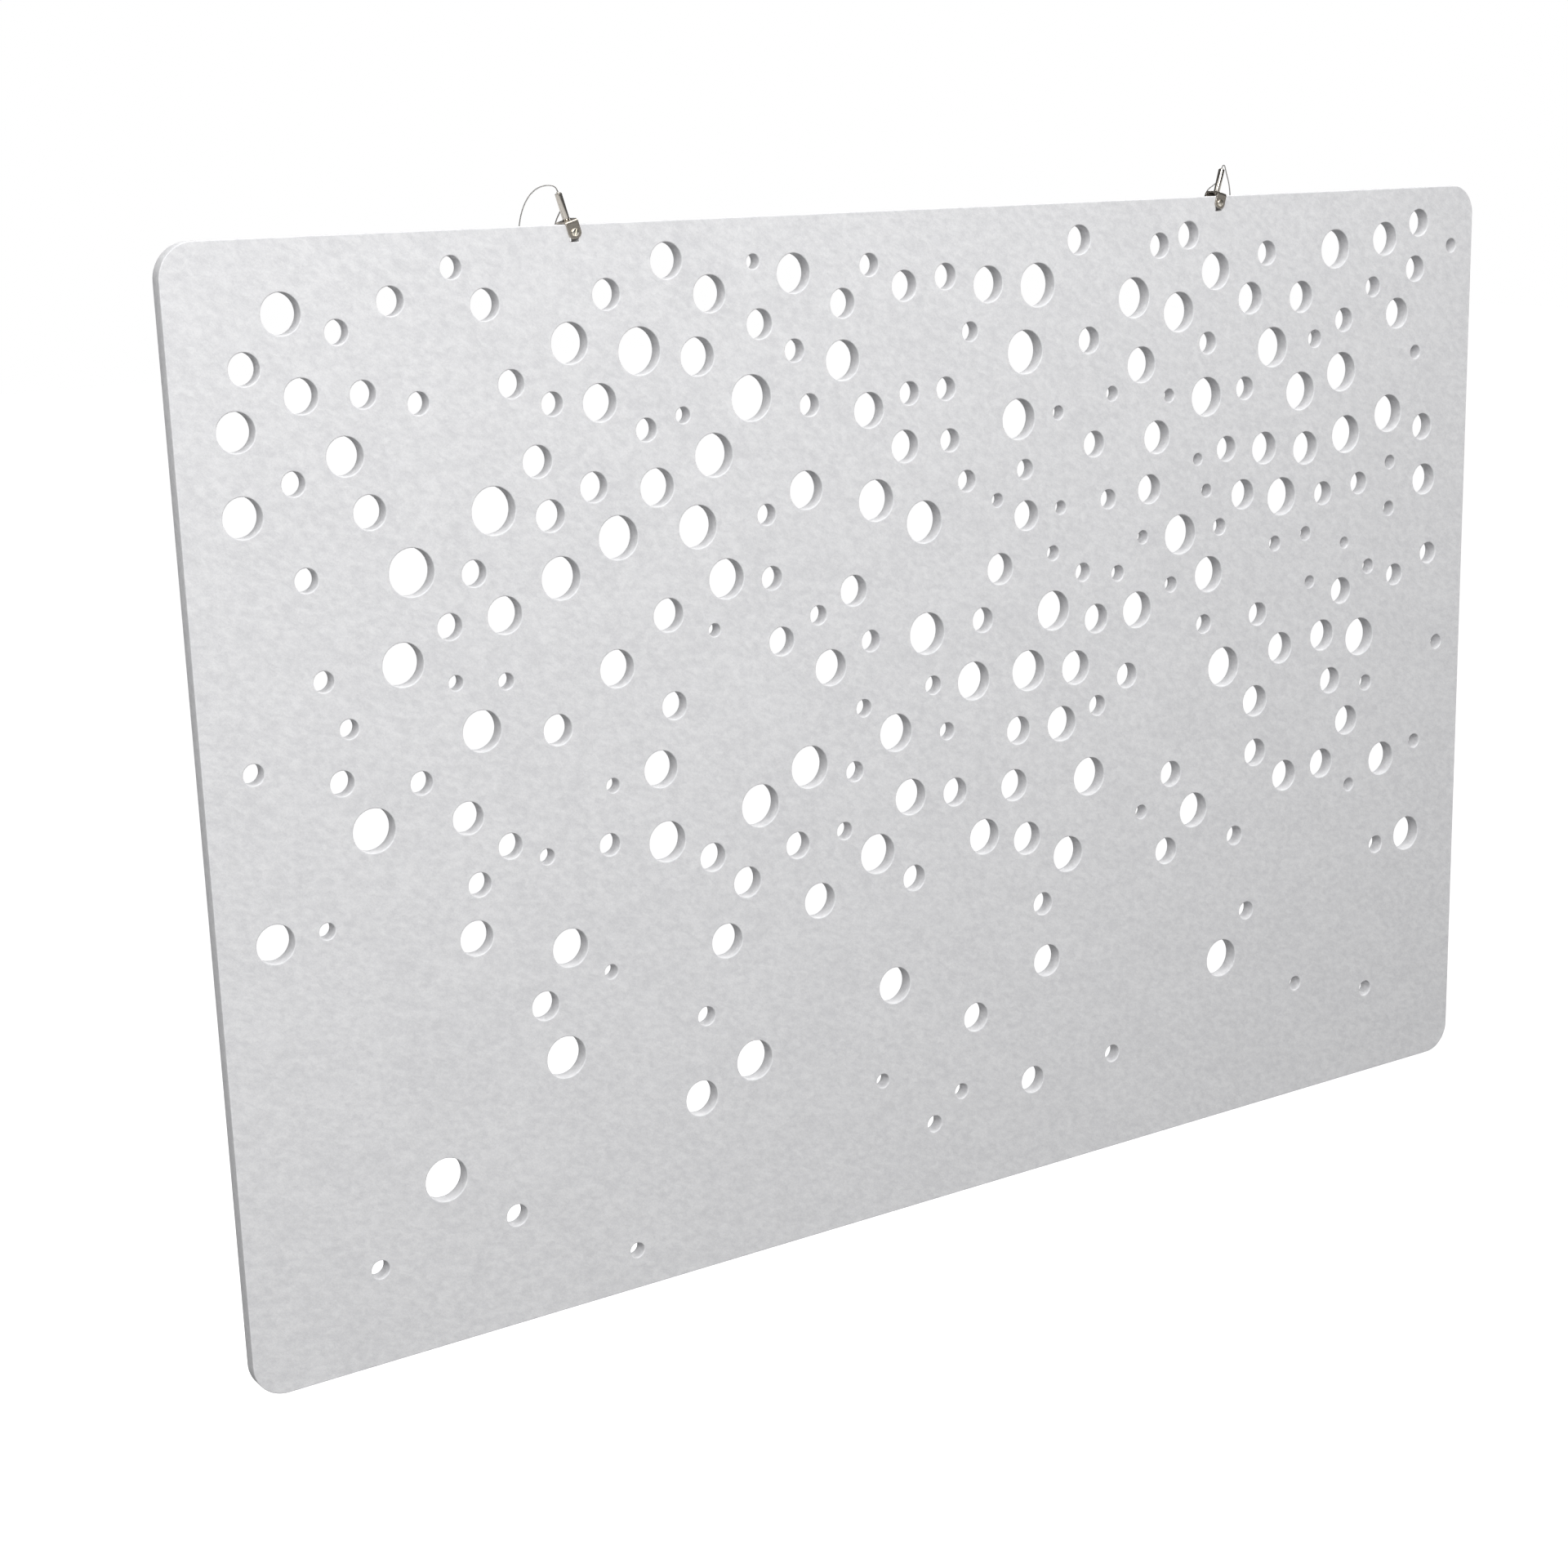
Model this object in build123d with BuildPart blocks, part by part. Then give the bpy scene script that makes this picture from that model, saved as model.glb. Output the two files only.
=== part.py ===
from build123d import *
import math
import os

# Acoustic ceiling baffle: a perforated felt panel that hangs on edge from two steel wires.
# Millimetres. X runs along the panel, Y from its front face to its back and Z up.
# The origin is the middle of the panel's top edge, halfway through the felt.

# Felt panel
LENGTH = 1200.0
HEIGHT = 800.0
THICKNESS = 12.0
CORNER_RADIUS = 25.0
EDGE_ROUND = 1.0

# Perforation: least felt between a hole and an edge or a hanger slot, and how small holes are cut
EDGE_WEB = 12.0
ROUND_FROM = 30
SMALL_HOLE_SIDES = 8

# Hole centres by diameter, as distances from the panel's left edge and down from its top edge
HOLES = {
    10: [(402, 298), (879, 213), (1051, 301)],
    11: [(446, 32), (730, 163), (847, 158), (189, 309), (310, 402), (668, 227), (732, 239),
         (889, 240), (819, 272), (1010, 331), (301, 543)],
    12: [(382, 138), (786, 152), (1174, 51), (1133, 141), (228, 313), (724, 275), (1105, 235),
         (1004, 288), (253, 446), (80, 469), (818, 506), (1063, 521), (312, 769), (545, 685)],
    13: [(792, 299), (850, 315), (1105, 276), (968, 293), (1081, 325), (1170, 404), (1145, 493),
         (624, 712), (1001, 696)],
    14: [(107, 330), (535, 376), (904, 272), (615, 406), (514, 471), (1081, 430), (101, 727),
         (596, 734), (1090, 719)],
    15: [(643, 94), (1011, 122), (91, 295), (36, 351), (495, 298), (602, 367), (755, 294),
         (382, 595), (786, 715)],
    16: [(204, 25), (174, 114), (451, 217), (696, 205), (782, 237), (887, 353), (525, 425),
         (1099, 583), (940, 616)],
    17: [(118, 63), (276, 122), (80, 160), (549, 39), (480, 98), (351, 146), (492, 139),
         (1079, 82), (84, 225), (158, 376), (543, 324), (638, 209), (305, 446), (770, 407),
         (925, 545), (212, 714)],
    18: [(584, 137), (889, 118), (619, 136), (622, 176), (99, 367), (454, 265), (198, 457)],
    19: [(134, 105), (931, 158), (208, 234), (187, 269), (1067, 250), (1156, 321), (1114, 336),
         (224, 433), (711, 567)],
    20: [(158, 45), (245, 106), (620, 51), (836, 37), (954, 48), (1045, 108), (652, 321),
         (1024, 255), (949, 352)],
    21: [(762, 108), (767, 191), (365, 350), (802, 386), (911, 207), (470, 475), (580, 521)],
    22: [(228, 51), (52, 83), (306, 183), (323, 49), (524, 66), (450, 77), (867, 30), (1130, 69),
         (461, 314), (245, 558), (393, 471), (851, 478)],
    23: [(262, 161), (270, 200), (581, 56), (752, 29), (1133, 30), (267, 354), (1144, 207),
         (1048, 343), (687, 416), (622, 457), (846, 545), (1037, 422), (699, 719)],
    24: [(90, 103), (133, 184), (192, 407), (528, 283), (697, 242), (826, 233), (769, 334),
         (423, 496), (948, 474), (640, 651)],
    25: [(579, 177), (363, 282), (670, 282), (930, 247)],
    26: [(373, 28), (936, 84), (994, 86), (1109, 106), (193, 496), (682, 461), (1058, 461),
         (1028, 496)],
    27: [(43, 123), (118, 145), (314, 124), (408, 53), (546, 147), (834, 191), (230, 266),
         (954, 210), (1148, 254), (976, 385), (1026, 380), (403, 539), (695, 508), (947, 428),
         (983, 500), (715, 617)],
    28: [(80, 49), (43, 179), (396, 97), (358, 188), (661, 59), (1092, 42), (318, 316), (505, 340),
         (351, 396), (747, 372), (1002, 214), (42, 471), (489, 523), (375, 660)],
    29: [(292, 81), (481, 42), (487, 202), (817, 131), (268, 518), (578, 454), (732, 417),
         (651, 499)],
    30: [(523, 108), (897, 60), (207, 346), (414, 261), (565, 400), (813, 332), (892, 311),
         (738, 529), (877, 514), (1103, 503), (559, 607)],
    31: [(276, 245), (150, 291), (642, 369), (354, 452), (1138, 579)],
    32: [(407, 169), (809, 77), (857, 91), (690, 165), (888, 162), (1033, 48), (995, 165),
         (1101, 192), (1050, 206), (120, 404), (324, 221), (391, 220), (551, 216), (724, 322),
         (975, 253), (260, 601), (545, 495), (761, 466), (424, 640)],
    33: [(962, 126), (1043, 152), (596, 237), (597, 325), (483, 415), (860, 274), (698, 368),
         (1072, 387), (437, 438), (157, 672), (911, 654)],
    34: [(226, 192), (348, 90), (441, 130), (710, 62), (697, 113), (161, 228), (910, 393)],
}

# Hangers: two stirrups over the top edge, each swinging on a sleeve in a slot through the felt
HANGER_SPACING = 600.0
PIVOT_DEPTH = 5.5
SLOT_WIDTH = 7.0
SLOT_BOTTOM = 12.0
LEAN = 16.5
STRIP_WIDTH = 10.0
STRIP_THICKNESS = 1.2
TONGUE_DROP = 4.3
TONGUE_CORNER = 3.8

# Clearances: sleeve in its slot, felt to stirrup, stirrup resting on the felt, moving and loose fits
SLEEVE_FIT = 0.1
FACE_GAP = 0.15
REST_GAP = 0.25
RUNNING_FIT = 0.05
HOLE_CLEARANCE = 0.15

# Pivot screws: slotted pan heads
SCREW_RADIUS = 1.5
HEAD_RADIUS = 2.8
HEAD_HEIGHT = 1.0
HEAD_ROUND = 0.5
HEAD_SLOT_WIDTH = 0.8
HEAD_SLOT_DEPTH = 0.5
HEAD_SLOT_TURN = 33.0
SCREW_REACH = 5.0

# Wire gripper body, heights measured up from the top of the stirrup's bridge
BODY_RADIUS = 2.5
BODY_LENGTH = 19.0
BODY_CHAMFER = 0.3
LIP_HEIGHT = 0.8
CONE_TOP = 15.9
CONE_BOTTOM = 13.0
LEDGE_HEIGHT = 10.0
CAVITY_RADIUS = 1.85
BASE_SCREW_RADIUS = 1.05
BASE_SCREW_DEPTH = 4.0
BASE_HEAD_RADIUS = 2.0
BASE_HEAD_HEIGHT = 0.7

# Plunger, clamping jaws and spring inside the gripper
PLUNGER_RADIUS = 1.4
NOZZLE_RADIUS = 1.1
NOZZLE_OUT = 1.0
NOZZLE_ROUND = 0.3
PLUNGER_TRAVEL = 1.2
PLUNGER_LENGTH = 2.55
JAW_LENGTH = 2.3
JAW_COUNT = 3
JAW_SLIT = 0.35
SPRING_WIRE_RADIUS = 0.18
SPRING_RADIUS = 1.45
SPRING_TURNS = 3
SPRING_SIDES = 4

# Steel wire, and its side exit from the gripper body
WIRE_RADIUS = 0.5
WIRE_SIDES = 6
WIRE_BORE_CLEARANCE = 0.25
EXIT_HEIGHT = 9.4
EXIT_ANGLE = 45.0
EXIT_AZIMUTH = 60.0
EXIT_BEND = 5.5

# Spare wire: a flat coil of two layers behind the panel
COIL_RADIUS = 13.5
COIL_PITCH = 1.65
COIL_TURNS = 3
COIL_Y = 8.9

# Ceiling socket on the wire's upper end, with an M6 thread, and the crimped stop inside it
SOCKET_RADIUS = 4.0
SOCKET_LENGTH = 13.0
SOCKET_CHAMFER = 0.5
THREAD_RADIUS = 2.5
THREAD_LENGTH = 7.0
STOP_RADIUS = 1.3
STOP_LENGTH = 2.2
SOCKET_DROP = 15.0

# Free wire from the gripper's nozzle to the coil, and its tail from the side exit: how far each
# first leaves the gripper, then points chosen by hand, X from the pivot and Z from the top edge
WIRE_LEADS = {"left": 2.3, "right": 1.2}
FREE_POINTS = {
    "left": [(-10.4, 0.2, 25.7), (-12.7, 0.6, 26.6), (-16.9, 1.7, 26.7), (-22.8, 3.4, 24.9),
             (-28.6, 5.4, 19.4), (-33.0, 7.2, 10.4), (-35.4, 8.5, -1.2), (-36.2, 8.9, -14.0)],
    "right": [(9.4, 0.1, 24.0), (10.6, 0.4, 24.3), (12.1, 1.0, 23.8), (13.7, 1.9, 21.4),
              (16.2, 3.1, 16.9), (20.3, 5.0, 10.8), (23.7, 7.1, 4.0), (25.5, 8.6, -4.0),
              (25.9, 8.9, -13.0)],
}
COIL_CENTRES = {"left": (-22.7, -31.0), "right": (39.4, -26.0)}
TAIL_REACH = 13.5
TAIL_POINTS = {
    "left": [(-8.6, 8.4, -10.0), (-9.0, 8.2, -21.0)],
    "right": [(-4.5, 8.6, -9.0), (-5.0, 8.4, -20.0)],
}

SIDES = {"left": -1, "right": 1}

lean = math.radians(LEAN)
slot_radius = SLOT_WIDTH / 2
grip = THICKNESS + 2 * FACE_GAP
bridge_in = (PIVOT_DEPTH + STRIP_WIDTH / 2 * math.sin(lean) + REST_GAP) / math.cos(lean)
bridge_out = bridge_in + STRIP_THICKNESS
lip_radius = NOZZLE_RADIUS + RUNNING_FIT
guide_radius = PLUNGER_RADIUS + RUNNING_FIT
wire_hole = WIRE_RADIUS + RUNNING_FIT
shoulder = BODY_LENGTH - LIP_HEIGHT - RUNNING_FIT
nozzle_top = BODY_LENGTH + NOZZLE_OUT
jaw_top = shoulder - PLUNGER_LENGTH - RUNNING_FIT
jaw_bottom = jaw_top - JAW_LENGTH

os.makedirs("parts", exist_ok=True)


def write(part, name):
    """Label a finished piece and write its file."""
    part.label = name
    export_step(part, f"parts/{name}.step")


def hanger_plane(side):
    """The hanger's own plane at its pivot: X across the strip, Y to the back, Z up the gripper."""
    along = (side * math.sin(lean), 0, math.cos(lean))
    across = (math.cos(lean), 0, -side * math.sin(lean))
    return Plane(origin=(side * HANGER_SPACING / 2, 0, -PIVOT_DEPTH), x_dir=across, z_dir=along)


def front_of(plane):
    """The plane's front elevation, to sketch profiles with X across and Y up."""
    return Plane(origin=plane.origin, x_dir=plane.x_dir, z_dir=-plane.y_dir)


def side_of(plane):
    """The plane's side elevation, to sketch profiles with X to the back and Y up."""
    return Plane(origin=plane.origin, x_dir=plane.y_dir, z_dir=plane.x_dir)


def facing(plane, direction):
    """A plane at the same origin whose normal is the given direction."""
    return Plane(origin=plane.origin, x_dir=plane.x_dir, z_dir=direction)


# Felt panel


def hole_places():
    """Hole centres by diameter, without those that would come too near an edge or a slot."""
    places = {}
    for diameter, centres in HOLES.items():
        reach = diameter / 2 + EDGE_WEB
        places[diameter] = []
        for from_left, from_top in centres:
            x = from_left - LENGTH / 2
            inside = reach < from_left < LENGTH - reach and reach < from_top < HEIGHT - reach
            beside_slot = abs(abs(x) - HANGER_SPACING / 2) < slot_radius + reach
            if inside and not (beside_slot and from_top < SLOT_BOTTOM + reach):
                places[diameter].append((x, -from_top))
    return {diameter: centres for diameter, centres in places.items() if centres}


def make_panel():
    """The felt: its outer edges eased all round, its holes and slots cut square."""
    places = hole_places()
    back = Plane(origin=(0, THICKNESS / 2, 0), x_dir=(1, 0, 0), z_dir=(0, -1, 0))
    with BuildPart() as panel:
        with BuildSketch(back):
            with Locations((0, -HEIGHT / 2)):
                RectangleRounded(LENGTH, HEIGHT, CORNER_RADIUS)
            for diameter, centres in places.items():
                with Locations(*centres):
                    if diameter >= ROUND_FROM:
                        Circle(diameter / 2, mode=Mode.SUBTRACT)
                    else:
                        RegularPolygon(diameter / 2, SMALL_HOLE_SIDES, mode=Mode.SUBTRACT)
        extrude(amount=THICKNESS)
        outline = [face.outer_wire().edges() for face in panel.faces().filter_by(Axis.Y)]
        fillet([edge for edges in outline for edge in edges], EDGE_ROUND)
        with BuildSketch(back):
            for side in SIDES.values():
                with Locations((side * HANGER_SPACING / 2, -PIVOT_DEPTH)):
                    Circle(slot_radius)
                    Rectangle(SLOT_WIDTH, SLOT_BOTTOM - PIVOT_DEPTH, align=(Align.CENTER, Align.MAX))
        extrude(amount=THICKNESS, mode=Mode.SUBTRACT)
    write(panel.part, "felt_panel")
    print("holes", sum(len(centres) for centres in places.values()))


# Hanger


def make_stirrup(name, seat):
    """Bent strip over the felt's edge, with rounded tongues and holes for its three screws."""
    outside = grip + 2 * STRIP_THICKNESS
    inner_bend = EDGE_ROUND + FACE_GAP
    with BuildPart() as stirrup:
        with BuildSketch(side_of(seat)):
            with BuildLine():
                Polyline(
                    (-outside / 2, -TONGUE_DROP), (-outside / 2, bridge_out),
                    (outside / 2, bridge_out), (outside / 2, -TONGUE_DROP),
                    (grip / 2, -TONGUE_DROP), (grip / 2, bridge_in),
                    (-grip / 2, bridge_in), (-grip / 2, -TONGUE_DROP), close=True,
                )
            make_face()
        extrude(amount=STRIP_WIDTH / 2, both=True)
        across = stirrup.edges().filter_by(Axis(seat.origin, seat.x_dir))
        bends = across.group_by(Axis(seat.origin, seat.z_dir))
        fillet(bends[-2], inner_bend)
        across = stirrup.edges().filter_by(Axis(seat.origin, seat.x_dir))
        fillet(across.group_by(Axis(seat.origin, seat.z_dir))[-1], inner_bend + STRIP_THICKNESS)
        ends = stirrup.edges().filter_by(Axis.Y).group_by(Axis(seat.origin, seat.z_dir))[0]
        fillet(ends, TONGUE_CORNER)
        with BuildSketch(front_of(seat)):
            Circle(SCREW_RADIUS + HOLE_CLEARANCE)
        extrude(amount=outside, both=True, mode=Mode.SUBTRACT)
        with BuildSketch(seat.offset(bridge_in)):
            Circle(BASE_SCREW_RADIUS + HOLE_CLEARANCE)
        extrude(amount=STRIP_THICKNESS, mode=Mode.SUBTRACT)
    write(stirrup.part, f"stirrup_{name}")


def make_sleeve(name, seat):
    """Threaded sleeve that turns in the felt's slot and holds the tongues apart."""
    with BuildPart() as sleeve:
        with BuildSketch(front_of(seat)):
            Circle(slot_radius - SLEEVE_FIT)
            Circle(SCREW_RADIUS, mode=Mode.SUBTRACT)
        extrude(amount=grip / 2, both=True)
    write(sleeve.part, f"sleeve_{name}")


def make_pivot_screw(name, seat, side, outward):
    """Slotted pan-head screw through one tongue into the sleeve. Outward is -1 in front, 1 behind."""
    face = facing(seat, seat.y_dir * outward).offset(grip / 2 + STRIP_THICKNESS)
    with BuildPart() as screw:
        with BuildSketch(face):
            Circle(HEAD_RADIUS)
        extrude(amount=HEAD_HEIGHT)
        fillet(screw.edges().filter_by(GeomType.CIRCLE).group_by(Axis(face.origin, face.z_dir))[-1], HEAD_ROUND)
        with BuildSketch(face):
            Circle(SCREW_RADIUS - RUNNING_FIT)
        extrude(amount=-(STRIP_THICKNESS + SCREW_REACH))
        with BuildSketch(face.offset(HEAD_HEIGHT)):
            Rectangle(4 * HEAD_RADIUS, HEAD_SLOT_WIDTH, rotation=90 + HEAD_SLOT_TURN)
        extrude(amount=-HEAD_SLOT_DEPTH, mode=Mode.SUBTRACT)
    write(screw.part, name)


def make_base_screw(name, seat):
    """Low-headed screw from under the bridge up into the gripper body."""
    with BuildPart() as screw:
        with BuildSketch(seat.offset(bridge_in - BASE_HEAD_HEIGHT)):
            Circle(BASE_HEAD_RADIUS)
        extrude(amount=BASE_HEAD_HEIGHT)
        with BuildSketch(seat.offset(bridge_in)):
            Circle(BASE_SCREW_RADIUS - RUNNING_FIT)
        extrude(amount=STRIP_THICKNESS + BASE_SCREW_DEPTH)
        with BuildSketch(seat.offset(bridge_in - BASE_HEAD_HEIGHT)):
            Rectangle(4 * BASE_HEAD_RADIUS, HEAD_SLOT_WIDTH)
        extrude(amount=BASE_HEAD_HEIGHT / 2, mode=Mode.SUBTRACT)
    write(screw.part, f"base_screw_{name}")


# Wire gripper


def cone_radius(height):
    """Radius of the body's inner cone, which narrows upwards."""
    share = (height - CONE_BOTTOM) / (CONE_TOP - CONE_BOTTOM)
    return CAVITY_RADIUS + (guide_radius - CAVITY_RADIUS) * share


def exit_points(base):
    """The wire's way through the body: down the axis, then out of its side to the left and back."""
    turn = math.radians(EXIT_ANGLE)
    azimuth = math.radians(EXIT_AZIMUTH)
    sideways = -base.x_dir * math.cos(azimuth) + base.y_dir * math.sin(azimuth)
    outward = sideways * math.sin(turn) - base.z_dir * math.cos(turn)
    corner = base.origin + base.z_dir * EXIT_HEIGHT
    return corner, outward


def make_gripper_body(name, base):
    corner, outward = exit_points(base)
    with BuildPart() as body:
        with BuildSketch(base):
            Circle(BODY_RADIUS)
        extrude(amount=BODY_LENGTH)
        chamfer(body.edges().filter_by(GeomType.CIRCLE), BODY_CHAMFER)
        with BuildSketch(front_of(base)):
            Polygon(
                (0, LEDGE_HEIGHT), (CAVITY_RADIUS, LEDGE_HEIGHT), (CAVITY_RADIUS, CONE_BOTTOM),
                (guide_radius, CONE_TOP), (guide_radius, BODY_LENGTH - LIP_HEIGHT),
                (lip_radius, BODY_LENGTH - LIP_HEIGHT), (lip_radius, BODY_LENGTH), (0, BODY_LENGTH),
                align=None,
            )
        revolve(axis=Axis(base.origin, base.z_dir), mode=Mode.SUBTRACT)
        with BuildSketch(base):
            Circle(BASE_SCREW_RADIUS)
        extrude(amount=BASE_SCREW_DEPTH + HOLE_CLEARANCE, mode=Mode.SUBTRACT)
        start = base.origin + base.z_dir * CONE_BOTTOM
        with BuildLine():
            FilletPolyline(start, corner, corner + outward * 3 * BODY_RADIUS, radius=EXIT_BEND)
        with BuildSketch(facing(Plane(start, x_dir=base.x_dir, z_dir=base.z_dir), -base.z_dir)):
            Circle(WIRE_RADIUS + WIRE_BORE_CLEARANCE)
        sweep(mode=Mode.SUBTRACT)
    write(body.part, f"gripper_body_{name}")


def make_plunger(name, base):
    """Release plunger: its nozzle stands out of the body's top and its shoulder stays inside."""
    with BuildPart() as plunger:
        with BuildSketch(base.offset(shoulder - PLUNGER_LENGTH)):
            Circle(PLUNGER_RADIUS)
        extrude(amount=PLUNGER_LENGTH)
        with BuildSketch(base.offset(shoulder)):
            Circle(NOZZLE_RADIUS)
        extrude(amount=nozzle_top - shoulder)
        fillet(plunger.edges().group_by(Axis(base.origin, base.z_dir))[-1], NOZZLE_ROUND)
        with BuildSketch(base.offset(nozzle_top)):
            Circle(wire_hole)
        extrude(amount=-BODY_LENGTH, mode=Mode.SUBTRACT)
    write(plunger.part, f"plunger_{name}")


def make_jaws(name, base):
    """Three wedges round the wire that tighten as they rise in the body's cone."""
    with BuildPart() as jaws:
        with BuildSketch(front_of(base)):
            Polygon(
                (wire_hole, jaw_bottom), (cone_radius(jaw_bottom) - RUNNING_FIT, jaw_bottom),
                (cone_radius(jaw_top) - RUNNING_FIT, jaw_top), (wire_hole, jaw_top), align=None,
            )
        revolve(axis=Axis(base.origin, base.z_dir))
        with BuildSketch(base.offset(jaw_bottom)):
            with PolarLocations(CAVITY_RADIUS / 2, JAW_COUNT):
                Rectangle(CAVITY_RADIUS, JAW_SLIT)
        extrude(amount=JAW_LENGTH, mode=Mode.SUBTRACT)
    write(jaws.part, f"clamp_jaws_{name}")


# Wound and free wires


def half_turns(ends, tangent):
    """Tangent half circles from each end to the next. The first one sets off along the tangent."""
    for index in range(len(ends) - 1):
        start = ends[index]
        finish = ends[index + 1]
        heading = tangent if index % 2 == 0 else -tangent
        middle = (start + finish) / 2 + heading * (finish - start).length / 2
        ThreePointArc(start, middle, finish)


def least_gap(line, radius):
    """Least air between the line's own turns, from points along it."""
    steps = int(line.length / radius)
    points = [line.position_at(step / steps) for step in range(steps + 1)]
    apart = int(4 * math.pi)
    gaps = [
        (points[i] - points[j]).length
        for i in range(steps + 1)
        for j in range(i + apart, steps + 1)
    ]
    return min(gaps) - 2 * radius


def make_spring(name, base):
    """Compression spring between the body's ledge and the jaws."""
    low = LEDGE_HEIGHT + SPRING_WIRE_RADIUS + RUNNING_FIT
    rise = jaw_bottom - RUNNING_FIT - SPRING_WIRE_RADIUS - low
    ends = []
    for index in range(2 * SPRING_TURNS + 1):
        side = -1 if index % 2 == 0 else 1
        height = low + rise * index / (2 * SPRING_TURNS)
        ends.append(base.origin + base.x_dir * side * SPRING_RADIUS + base.z_dir * height)
    with BuildPart() as spring:
        with BuildLine() as line:
            half_turns(ends, base.y_dir)
        with BuildSketch(Plane(ends[0], x_dir=base.x_dir, z_dir=base.y_dir)):
            RegularPolygon(SPRING_WIRE_RADIUS, SPRING_SIDES)
        sweep()
    write(spring.part, f"plunger_spring_{name}")
    print("spring", name, "gap", round(least_gap(line.wires()[0], SPRING_WIRE_RADIUS), 2))


def corner_radii(points):
    """The largest arc that each corner's two runs allow."""
    radii = []
    for before, corner, after in zip(points, points[1:], points[2:]):
        arriving = corner - before
        leaving = after - corner
        half = math.radians(arriving.get_angle(leaving)) / 2
        radii.append(0.45 * min(arriving.length, leaving.length) / math.tan(half))
    return radii


def make_wire(name, points, radii):
    """A free stretch of wire: straight runs joined by tangent arcs."""
    with BuildPart() as wire:
        with BuildLine():
            path = FilletPolyline(*points, radius=radii)
        with BuildSketch(Plane(path @ 0, z_dir=path % 0)) as section:
            RegularPolygon(WIRE_RADIUS, WIRE_SIDES)
        sweep()
    write(wire.part, name)
    length = path.length
    share = wire.part.volume / (section.sketch.area * length)
    print(name, "length", round(length, 1), "volume share", round(share, 3))
    print(name, "radii", [round(radius, 1) for radius in radii])
    return length


def make_coil(name, start, centre, pivot_x):
    """Spare wire: in by one layer, up in one half turn, out by the next and down to its socket."""
    middle = Vector(pivot_x + centre[0], 0, centre[1])
    radius = COIL_RADIUS
    layer = COIL_Y
    ends = [middle + Vector(-radius, layer, 0)]
    for index in range(1, 4 * COIL_TURNS + 1):
        climbing = index == 2 * COIL_TURNS + 1
        if climbing:
            layer += COIL_PITCH
        elif index <= 2 * COIL_TURNS:
            radius -= COIL_PITCH / 2
        else:
            radius += COIL_PITCH / 2
        side = -1 if index % 2 == 0 else 1
        ends.append(middle + Vector(side * radius, layer, 0))
    wire_end = ends[-1] - Vector(0, 0, SOCKET_DROP + SOCKET_LENGTH - THREAD_LENGTH)
    with BuildPart() as coil:
        with BuildLine() as line:
            Line(start, ends[0])
            half_turns(ends, Vector(0, 0, -1))
            Line(ends[-1], wire_end)
        with BuildSketch(Plane(start, z_dir=(0, 0, -1))):
            RegularPolygon(WIRE_RADIUS, WIRE_SIDES)
        sweep()
    write(coil.part, f"wire_coil_{name}")
    wound = line.wires()[0]
    print("coil", name, "length", round(wound.length, 1), "gap", round(least_gap(wound, WIRE_RADIUS), 2))
    return ends[-1] - Vector(0, 0, SOCKET_DROP), wound.length


def make_socket(name, top):
    """Ceiling socket: a turned barrel, tapped from below, hung on the stop crimped to the wire."""
    roof = SOCKET_LENGTH - THREAD_LENGTH - STOP_LENGTH - HOLE_CLEARANCE
    place = Plane(top, z_dir=(0, 0, -1))
    with BuildPart() as socket:
        with BuildSketch(place):
            Circle(SOCKET_RADIUS)
        extrude(amount=SOCKET_LENGTH)
        chamfer(socket.edges().filter_by(GeomType.CIRCLE), SOCKET_CHAMFER)
        with BuildSketch(place):
            Circle(WIRE_RADIUS + HOLE_CLEARANCE)
        extrude(amount=SOCKET_LENGTH, mode=Mode.SUBTRACT)
        with BuildSketch(place.offset(roof)):
            Circle(STOP_RADIUS + HOLE_CLEARANCE)
        extrude(amount=SOCKET_LENGTH, mode=Mode.SUBTRACT)
        with BuildSketch(place.offset(SOCKET_LENGTH - THREAD_LENGTH)):
            Circle(THREAD_RADIUS)
        extrude(amount=THREAD_LENGTH, mode=Mode.SUBTRACT)
    write(socket.part, f"ceiling_socket_{name}")
    with BuildPart() as stop:
        with BuildSketch(place.offset(roof)):
            Circle(STOP_RADIUS)
            Circle(wire_hole, mode=Mode.SUBTRACT)
        extrude(amount=STOP_LENGTH)
    write(stop.part, f"wire_stop_{name}")
    mouth = top - Vector(0, 0, SOCKET_LENGTH)
    print("socket", name, "thread mouth", mouth)


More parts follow.
